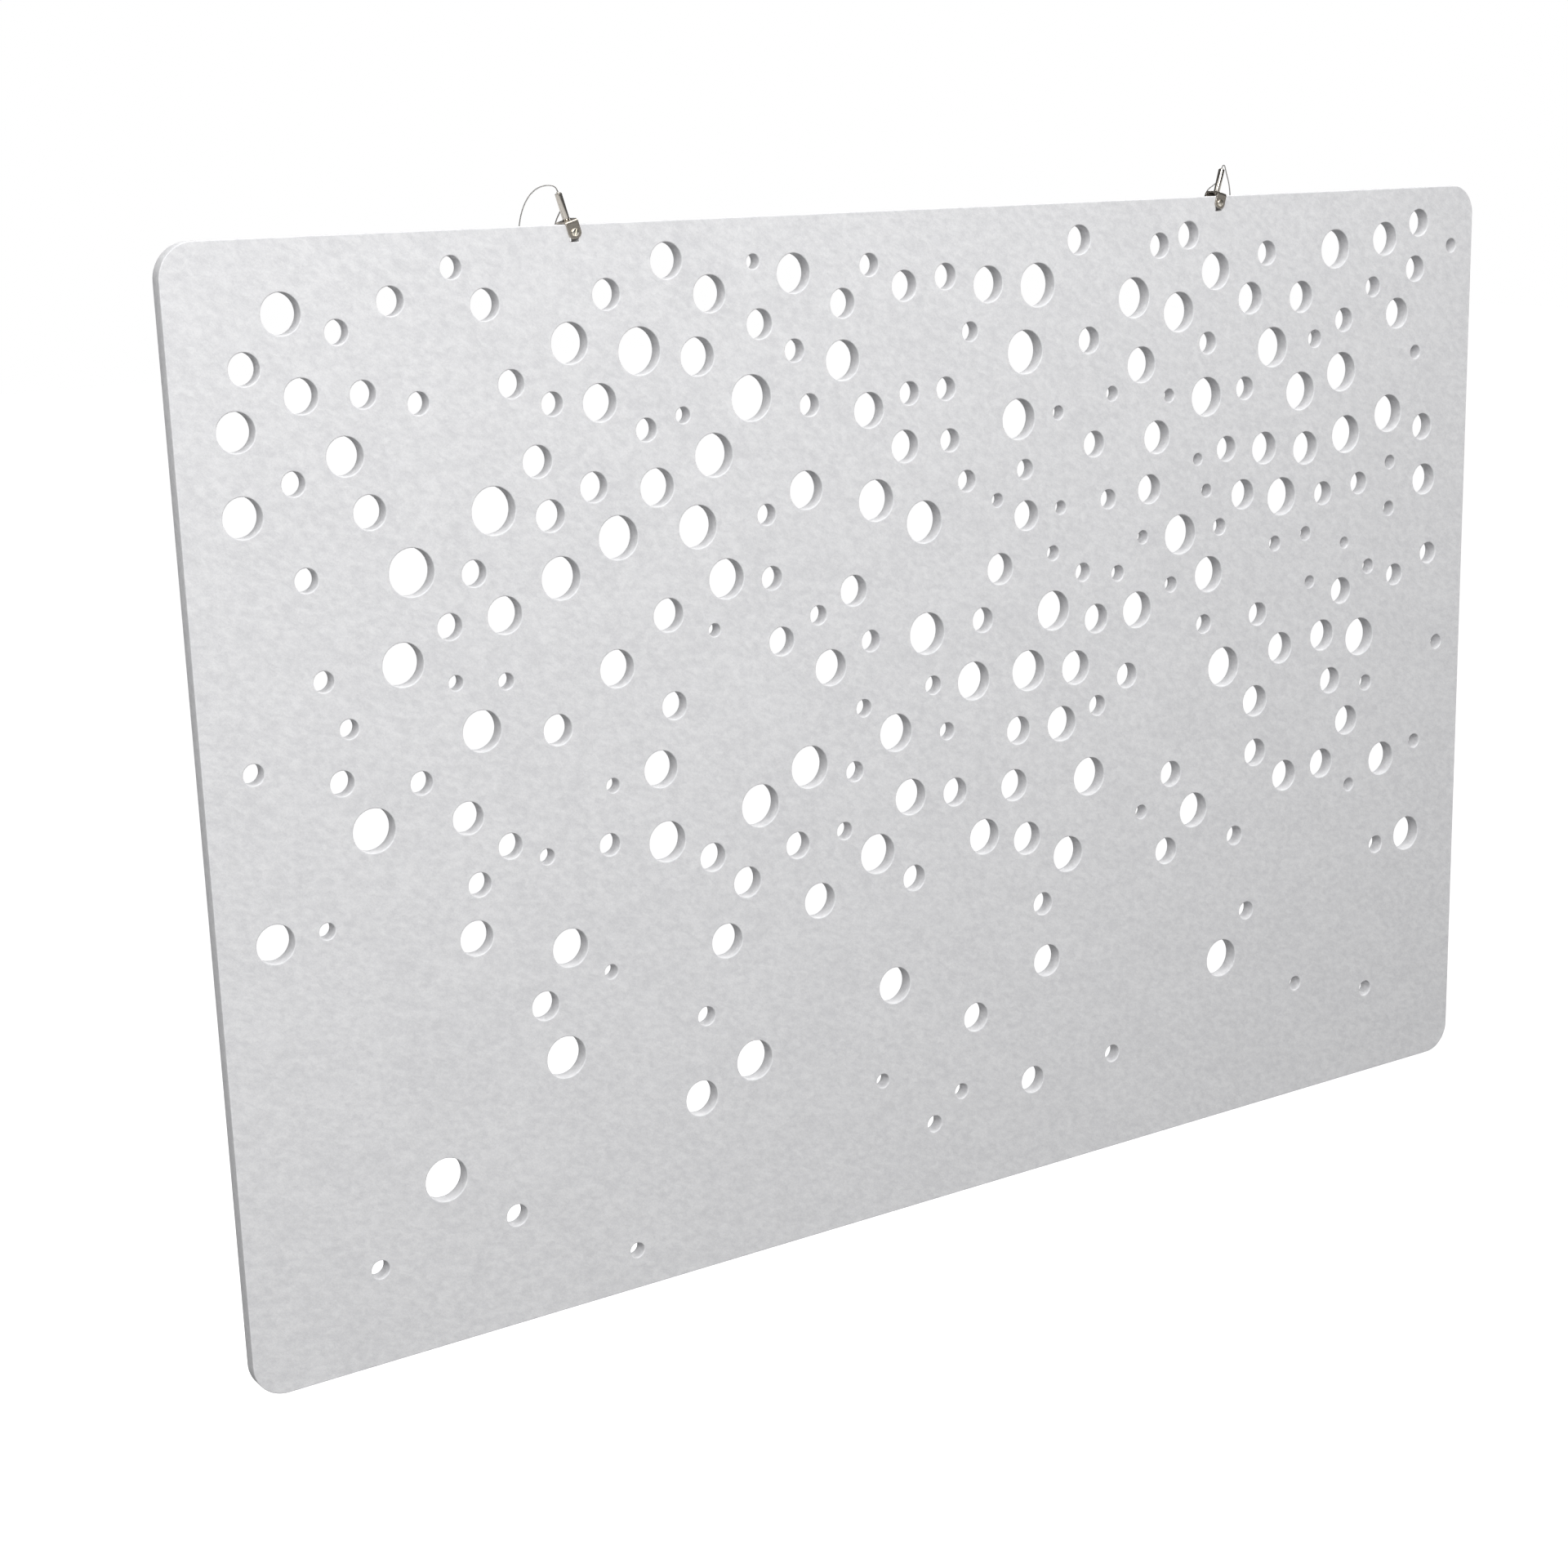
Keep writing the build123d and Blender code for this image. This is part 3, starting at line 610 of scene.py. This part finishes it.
def boundary_loops():
    """The closed outlines of the panel's front face: its edge, its holes and its slots."""
    shape = bmesh.new()
    shape.from_mesh(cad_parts["felt_panel"].data)
    bmesh.ops.remove_doubles(shape, verts=shape.verts, dist=1e-6)
    front = -FELT_THICKNESS / 2
    inside = {face for face in shape.faces
              if all(abs(vertex.co.y - front) < 1e-5 for vertex in face.verts)}
    rims = {}
    for edge in shape.edges:
        if len([face for face in edge.link_faces if face in inside]) == 1:
            for vertex in edge.verts:
                rims.setdefault(vertex, []).append(edge.other_vert(vertex))
    loops = []
    while rims:
        vertex = next(iter(rims))
        loop = []
        while vertex in rims:
            loop.append(Vector((vertex.co.x, vertex.co.z)))
            near = rims.pop(vertex)
            vertex = next((step for step in near if step in rims), vertex)
        loops.append(loop)
    shape.free()
    return loops


def perforations():
    """Centre and radius of each hole, read from the solid's rims."""
    holes = []
    for loop in boundary_loops():
        low = Vector((min(p.x for p in loop), min(p.y for p in loop)))
        high = Vector((max(p.x for p in loop), max(p.y for p in loop)))
        centre = (low + high) / 2
        reach = [(point - centre).length for point in loop]
        if max(reach) < 0.03 and max(reach) - min(reach) < 0.0002:
            holes.append((centre, max(reach)))
    return holes


def panel_outline(inset):
    """The panel's rounded rectangle, anticlockwise, drawn in by an inset."""
    low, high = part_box("felt_panel")
    points = []
    radius = CORNER_RADIUS - inset
    corners = [(high.x, high.z), (low.x, high.z), (low.x, low.z), (high.x, low.z)]
    for index, (x, z) in enumerate(corners):
        centre = Vector((x - math.copysign(CORNER_RADIUS, x),
                         z - (CORNER_RADIUS if z == high.z else -CORNER_RADIUS)))
        for step in range(17):
            angle = math.pi / 2 * (index + step / 16)
            points.append(centre + radius * Vector((math.cos(angle), math.sin(angle))))
    return points


def slot_outline(side, widen):
    """A hanger slot, clockwise: round above, with eased corners below, widened all round."""
    centre = Vector((side * PIVOT_X, -PIVOT_DEPTH)) * MM
    corner = SLOT_CORNER + widen
    points = []
    for step in range(21):
        angle = math.pi - math.pi * step / 20
        points.append(centre + (SLOT_HALF_WIDTH + widen) * Vector((math.cos(angle), math.sin(angle))))
    for turn, x in ((0, 1), (1, -1)):
        hub = centre + Vector((
            x * (SLOT_HALF_WIDTH - SLOT_CORNER), SLOT_CORNER - SLOT_BELOW_PIVOT))
        for step in range(6):
            angle = -math.pi / 2 * (turn + step / 5)
            points.append(hub + corner * Vector((math.cos(angle), math.sin(angle))))
    return points


def flat_curve(name, outlines, cyclic=True):
    """A curve object of closed or open outlines, each of plain corners."""
    curve = bpy.data.curves.new(name, "CURVE")
    curve.dimensions = "3D"
    for outline in outlines:
        spline = curve.splines.new("POLY")
        spline.points.add(len(outline) - 1)
        for target, point in zip(spline.points, outline):
            target.co = (point[0], point[1], 0.0, 1.0)
        spline.use_cyclic_u = cyclic
    return bpy.data.objects.new(name, curve)


def edge_profile(ease):
    """A wall's section from the front face to the back face, quarter-round at both rims."""
    half = FELT_THICKNESS / 2
    points = [(-FLAT_SUPPORT, half)]
    for step in range(EDGE_STEPS + 1):
        angle = math.pi / 2 * step / EDGE_STEPS
        points.append((ease * math.sin(angle), half - ease + ease * math.cos(angle)))
    return points + [(x, -z) for x, z in reversed(points)]


def perforated_tree():
    """Felt sheet: a face filled between its outlines and rims, and an eased wall along each."""
    tree, given = geometry_tree("perforated_felt", {
        "Hole Centres": "Object", "Edge Profile": "Object", "Small Below": "Float",
        "Large Above": "Float", "Thickness": "Float", "Rim Reach": "Float",
        "Material": "Material"})
    centres = add(tree, "GeometryNodeObjectInfo", {}, {"Object": given["Hole Centres"]}, "Geometry")
    profile = add(tree, "GeometryNodeObjectInfo", {}, {"Object": given["Edge Profile"]}, "Geometry")
    radius = add(tree, "GeometryNodeInputNamedAttribute", {"data_type": "FLOAT"}, {
        "Name": "hole_radius"}, "Attribute")
    small = 1 - (radius > given["Small Below"])
    large = radius > given["Large Above"]
    rims = []
    for sides, chosen in ((24, small), (32, 1 - small - large), (40, large)):
        circle = add(tree, "GeometryNodeCurvePrimitiveCircle", {}, {
            "Resolution": sides, "Radius": 1.0})
        reach = radius + given["Rim Reach"]
        rims.append(add(tree, "GeometryNodeInstanceOnPoints", {}, {
            "Points": centres, "Instance": circle, "Selection": chosen > 0.5,
            "Scale": add(tree, "ShaderNodeCombineXYZ", {}, {0: reach, 1: reach, 2: reach})}))
    circles = add(tree, "GeometryNodeRealizeInstances", {}, {
        0: add(tree, "GeometryNodeJoinGeometry", {}, {0: rims})})
    circles = add(tree, "GeometryNodeReverseCurve", {}, {"Curve": circles})
    lines = add(tree, "GeometryNodeJoinGeometry", {}, {0: [given["Geometry"], circles]})
    lines = add(tree, "GeometryNodeSetCurveNormal", {"mode": "Z_UP"}, {"Curve": lines})
    walls = add(tree, "GeometryNodeCurveToMesh", {}, {"Curve": lines, "Profile Curve": profile})
    face = add(tree, "GeometryNodeFillCurve", {"mode": "TRIANGLES"}, {"Curve": lines})
    half = given["Thickness"] * 0.5
    front = add(tree, "GeometryNodeTransform", {}, {
        "Geometry": face, "Translation": add(tree, "ShaderNodeCombineXYZ", {}, {2: half})})
    back = add(tree, "GeometryNodeFlipFaces", {}, {0: add(tree, "GeometryNodeTransform", {}, {
        "Geometry": face, "Translation": add(tree, "ShaderNodeCombineXYZ", {}, {2: half * -1})})})
    sheet = add(tree, "GeometryNodeJoinGeometry", {}, {0: [walls, front, back]})
    sheet = add(tree, "GeometryNodeMergeByDistance", {}, {"Geometry": sheet, "Distance": 2e-5})
    sheet = add(tree, "GeometryNodeSetShadeSmooth", {}, {0: sheet, "Shade Smooth": True})
    close_tree(tree, sheet, given["Material"])
    return tree


def make_felt(finish):
    holes = perforations()
    marks = bpy.data.meshes.new("hole_centres")
    marks.from_pydata([(c.x, c.y, 0) for c, _ in holes], [], [])
    sizes = marks.attributes.new("hole_radius", "FLOAT", "POINT")
    sizes.data.foreach_set("value", [radius for _, radius in holes])
    centres = bpy.data.objects.new("hole_centres", marks)
    inset = RIM_EASE + FLAT_SUPPORT
    outline = flat_curve("outline", [
        panel_outline(inset), slot_outline(-1, inset), slot_outline(1, inset)])
    profile = flat_curve("edge_profile", [
        [(x + FLAT_SUPPORT, z) for x, z in edge_profile(RIM_EASE)]], cyclic=False)
    mesh = grown(outline, perforated_tree(), {
        "Hole Centres": centres, "Edge Profile": profile, "Small Below": SMALL_HOLE_BELOW,
        "Large Above": LARGE_HOLE_ABOVE, "Thickness": FELT_THICKNESS, "Rim Reach": inset,
        "Material": finish})
    for helper in (centres, profile):
        bpy.data.objects.remove(helper)
    upright = Matrix.Rotation(math.pi / 2, 4, "X")
    shape = bmesh.new()
    shape.from_mesh(mesh)
    bmesh.ops.recalc_face_normals(shape, faces=shape.faces)
    shape.to_mesh(mesh)
    shape.free()
    seated("felt_sheet", mesh, upright, "panel", ["felt_panel"], sharp=180)


# Hangers

def make_gripper(name, place, body, release, finishes):
    """Turned gripper body with its side exit, the release plunger, and their hidden works."""
    profile = [
        (0.0, BASE_HOLE_DEPTH), (BASE_HOLE_RADIUS, BASE_HOLE_DEPTH), (BASE_HOLE_RADIUS, 0.0),
        (BODY_RADIUS, 0.0), (BODY_RADIUS, BODY_LENGTH), (LIP_RADIUS, BODY_LENGTH),
        (LIP_RADIUS, LIP_BOTTOM), (GUIDE_RADIUS, LIP_BOTTOM), (GUIDE_RADIUS, CONE_TOP),
        (CAVITY_RADIUS, CONE_BOTTOM), (CAVITY_RADIUS, CAVITY_BOTTOM), (0.0, CAVITY_BOTTOM)]
    shell = new_object("shell", turned("shell", profile, 56, 0.28))
    way = wire_way_out()
    start = Vector((0, 0, EXIT_HEIGHT))
    drill = turned("drill", [
        (0.0, -1.2), (WIRE_HOLE_RADIUS, -1.2), (WIRE_HOLE_RADIUS, 5.5), (0.0, 5.5)], 28, 0.02)
    drill.transform(Matrix.Translation(start) @ way.to_track_quat("Z", "Y").to_matrix().to_4x4())
    upper = turned("upper", [
        (0.0, 0.4), (WIRE_HOLE_RADIUS, 0.4), (WIRE_HOLE_RADIUS, 11.0), (0.0, 11.0)], 28, 0.02)
    upper.transform(Matrix.Translation((0, 0, 8.6)))
    for tool_name, tool_mesh in (("drill", drill), ("upper", upper)):
        tool = new_object(tool_name, tool_mesh)
        cut = shell.modifiers.new(tool_name, "BOOLEAN")
        cut.operation = "DIFFERENCE"
        cut.object = tool
    mesh = bpy.data.meshes.new_from_object(
        shell.evaluated_get(bpy.context.evaluated_depsgraph_get()))
    for helper in ("shell", "drill", "upper"):
        bpy.data.objects.remove(bpy.data.objects[helper])
    on_bridge = place @ Matrix.Translation((0, 0, BRIDGE_OUT))
    seated(f"wire_gripper_{name}", mesh, on_bridge, body, [f"gripper_body_{name}"],
           finishes["nickel_turned"], 30)
    nozzle = [
        (PLUNGER_BORE, 15.6), (PLUNGER_RADIUS, 15.6), (PLUNGER_RADIUS, 18.15), (1.1, 18.15),
        (1.1, 19.35), (0.95, NOZZLE_TOP), (PLUNGER_BORE, NOZZLE_TOP)]
    seated(f"release_plunger_{name}", turned("nozzle", nozzle, 40, 0.12), on_bridge, release,
           [f"plunger_{name}"], finishes["nickel_turned"], 30)
    dressed(f"gripping_jaws_{name}", f"clamp_jaws_{name}", release,
            finishes["jaw_brass"], 0.00004)
    coil = grown(bpy.data.objects.new("coil", bpy.data.meshes.new("coil")), spring_tree(), {
        "Turns": 3.0, "Radius": SPRING_RADIUS, "Height": 2.5, "Wire Radius": SPRING_WIRE_RADIUS,
        "Material": finishes["spring_steel"]})
    above_floor = on_bridge @ Matrix.Translation((0, 0, CAVITY_BOTTOM + 0.25))
    spring = seated(f"jaw_spring_{name}", coil, above_floor, body,
                    [f"plunger_spring_{name}"], None, 60)
    foot, crest = (on_bridge @ Vector((0, 0, height)) for height in (10.05, CONE_BOTTOM))
    tuple(crest - foot)
    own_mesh(spring)


def make_socket(name, top, wire_body, finishes):
    """Turned ceiling socket with a tapped mouth, round the stop crimped on the wire's end."""
    thread_top = SOCKET_LENGTH - THREAD_LENGTH
    wall = [(THREAD_RADIUS, thread_top + THREAD_LENGTH * step / 60) for step in range(61)]
    profile = [(0.65, 0.0), (0.65, STOP_TOP), (1.45, STOP_TOP), (1.45, thread_top)] + wall + [
        (SOCKET_RADIUS, SOCKET_LENGTH), (SOCKET_RADIUS, 0.0)]
    place = Matrix.Translation(top) @ Matrix.Rotation(math.pi, 4, "X") @ Matrix.Scale(MM, 4)
    thread = (thread_top + 0.6, SOCKET_LENGTH - 0.6, THREAD_RADIUS, 1.0, 0.12)
    socket = turned("socket", profile, 48, 0.35, thread)
    piece = seated(f"socket_{name}", socket, place, wire_body, [f"ceiling_socket_{name}"],
                   finishes["socket_nickel"], 30)
    stop = turned("stop", [
        (0.55, STOP_TOP), (STOP_RADIUS, STOP_TOP), (STOP_RADIUS, STOP_TOP + 0.7),
        (1.2, STOP_TOP + 1.1), (STOP_RADIUS, STOP_TOP + 1.5), (STOP_RADIUS, STOP_TOP + STOP_LENGTH),
        (0.55, STOP_TOP + STOP_LENGTH)], 32, 0.1)
    crimp = seated(f"crimped_stop_{name}", stop, place, wire_body, [f"wire_stop_{name}"],
                   finishes["screw_steel"], 30)
    return piece, crimp


def make_hanger(name, side, trees, finishes):
    """One hanger: its wires and socket, stirrup, pivot, screws and gripper."""
    place = hanger_place(side)
    body = f"hanger_{name}"
    release = f"release_{name}"
    wire_finish = finishes["wire_steel"]

    start = [(0, 0, BRIDGE_OUT + NOZZLE_TOP - 0.6),
             (0, 0, BRIDGE_OUT + NOZZLE_TOP + WIRE_LEADS[name])]
    free = [Vector((side * PIVOT_X + x, y, z)) * MM for x, y, z in FREE_POINTS[name]]
    turns, socket_top = coil_points(name, side)
    points = hanger_points(side, start) + free + turns
    wire, line = lay_wire(f"wire_{name}", points, trees["strands"], wire_finish, body,
                          [f"suspension_wire_{name}", f"wire_coil_{name}"])
    socket, crimp = make_socket(name, socket_top, body, finishes)
    length_of(line)

    way = wire_way_out()
    corner = Vector((0, 0, BRIDGE_OUT + EXIT_HEIGHT))
    inside = [(0, 0, BRIDGE_OUT + NOZZLE_TOP - 0.6), corner + Vector((0, 0, 4)), corner,
              corner + way * 4, corner + way * 13.5]
    tail_points = hanger_points(side, inside) + [
        Vector((side * PIVOT_X + x, y, z)) * MM for x, y, z in TAIL_POINTS[name]]
    tail, tail_line = lay_wire(f"spare_end_{name}", tail_points, trees["strands"], wire_finish, body,
                               [f"wire_tail_{name}"])
    length_of(tail_line)

    dressed(f"hanger_strip_{name}", f"stirrup_{name}", body,
            finishes["nickel_strip"], 0.00012)
    tube = turned("tube", [
        (SLEEVE_BORE, -GRIP / 2), (SLEEVE_RADIUS, -GRIP / 2), (SLEEVE_RADIUS, GRIP / 2),
        (SLEEVE_BORE, GRIP / 2)], 40, 0.2)
    seated(f"pivot_sleeve_{name}", tube, place @ Matrix.Rotation(math.pi / 2, 4, "X"), body,
           [f"sleeve_{name}"], finishes["nickel_turned"], 30)
    for face, outward in (("front", -1), ("back", 1)):
        base = bpy.data.objects.new("screw", bpy.data.meshes.new("screw"))
        screw = grown(base, trees["screw"], {
            "Head Radius": HEAD_RADIUS, "Head Height": HEAD_HEIGHT, "Slot Width": SLOT_WIDTH,
            "Slot Depth": SLOT_DEPTH, "Slot Turn": math.radians(SCREW_TURN[name]),
            "Shank Radius": SHANK_RADIUS, "Shank Length": SHANK_LENGTH, "Pitch": THREAD_PITCH,
            "Material": finishes["screw_steel"]})
        seat = Matrix.Translation((0, outward * (GRIP / 2 + STRIP_THICKNESS), 0)) @ Matrix.Rotation(
            -outward * math.pi / 2, 4, "X")
        seated(f"{face}_pivot_screw_{name}", screw, place @ seat, body, [f"{face}_screw_{name}"],
               None, 30)
    dressed(f"bridge_screw_{name}", f"base_screw_{name}", body,
            finishes["screw_steel"], 0.00008)
    make_gripper(name, place, body, release, finishes)


# Stage and light

def soft_light(name, place, target, size, power):
    lamp = bpy.data.lights.new(name, "AREA")
    lamp.shape = "RECTANGLE"
    lamp.size, lamp.size_y = size
    lamp.energy = power
    made = bpy.data.objects.new(name, lamp)
    made.location = place
    made.rotation_euler = (Vector(target) - Vector(place)).to_track_quat("-Z", "Y").to_euler()
    bpy.context.scene.collection.objects.link(made)


def make_stage():
    """A pale floor far below the hung panel, and soft light from above and all round."""
    shape = bmesh.new()
    bmesh.ops.create_grid(shape, x_segments=8, y_segments=8, size=30.0)
    mesh = bpy.data.meshes.new("floor")
    shape.to_mesh(mesh)
    shape.free()
    mesh.transform(Matrix.Translation((0, 0, -2.4)))
    mesh.materials.append(plain_finish("pale_floor", [0.9, 0.9, 0.9, 1.0], 1.0))
    floor = new_object("floor", mesh)
    floor.visible_diffuse = False

    world = bpy.data.worlds.new("studio")
    bpy.context.scene.world = world
    world.use_nodes = True
    tree = world.node_tree
    tree.nodes.clear()
    seen = add(tree, "ShaderNodeLightPath", {}, {}, "Is Camera Ray")
    dim = add(tree, "ShaderNodeBackground", {}, {"Color": (0.82, 0.82, 0.83, 1.0), "Strength": 0.17})
    white = add(tree, "ShaderNodeBackground", {}, {"Color": (1.0, 1.0, 1.0, 1.0), "Strength": 1.0})
    both = add(tree, "ShaderNodeMixShader", {}, {0: seen, 1: dim, 2: white})
    end = tree.nodes.new("ShaderNodeOutputWorld")
    tree.links.new(both.socket, end.inputs["Surface"])

    soft_light("front_light", (-1.3, -3.3, 1.6), (0.1, 0, -0.45), (2.4, 1.8), 140.0)
    soft_light("top_light", (0.2, -0.7, 2.2), (0, 0, -0.3), (2.6, 1.2), 42.0)
    soft_light("side_light", (-3.4, -0.6, 0.9), (-0.6, 0, -0.4), (1.6, 1.6), 22.0)
    soft_light("back_light", (2.4, 3.0, 1.4), (0.1, 0, -0.4), (2.0, 1.6), 110.0)
    bpy.context.scene.view_settings.view_transform = "Standard"


add_camera()
finishes = {
    "felt": felt_finish(),
    "nickel_strip": metal_finish("nickel_strip", linear(150, 142, 132), linear(196, 190, 180), 0.28,
                                 (9, 9, 1), 0.00001, 3000.0),
    "nickel_turned": metal_finish("nickel_turned", linear(165, 160, 152), linear(205, 200, 192), 0.18,
                                  (8, 8, 1), 0.000006, 3000.0),
    "screw_steel": metal_finish("screw_steel", linear(165, 160, 150), linear(215, 210, 200), 0.24,
                                (1, 1, 1), 0.00002),
    "jaw_brass": metal_finish("jaw_brass", linear(176, 140, 70), linear(214, 180, 100), 0.3,
                              (6, 6, 1), 0.00001, 3000.0),
    "spring_steel": metal_finish("spring_steel", linear(120, 120, 124), linear(170, 170, 174), 0.3,
                                 (1, 1, 1), 0.00001),
    "wire_steel": metal_finish("wire_steel", linear(120, 118, 116), linear(190, 188, 186), 0.42,
                               (1, 1, 1), 0.00001),
    "socket_nickel": metal_finish("socket_nickel", linear(150, 145, 138), linear(205, 200, 192), 0.2,
                                  (9, 9, 1), 0.000008, 3000.0),
}
trees = {"strands": strand_tree(), "screw": screw_tree()}
for hanger_name, hanger_side in SIDES.items():
    make_hanger(hanger_name, hanger_side, trees, finishes)
make_felt(finishes["felt"])
make_stage()
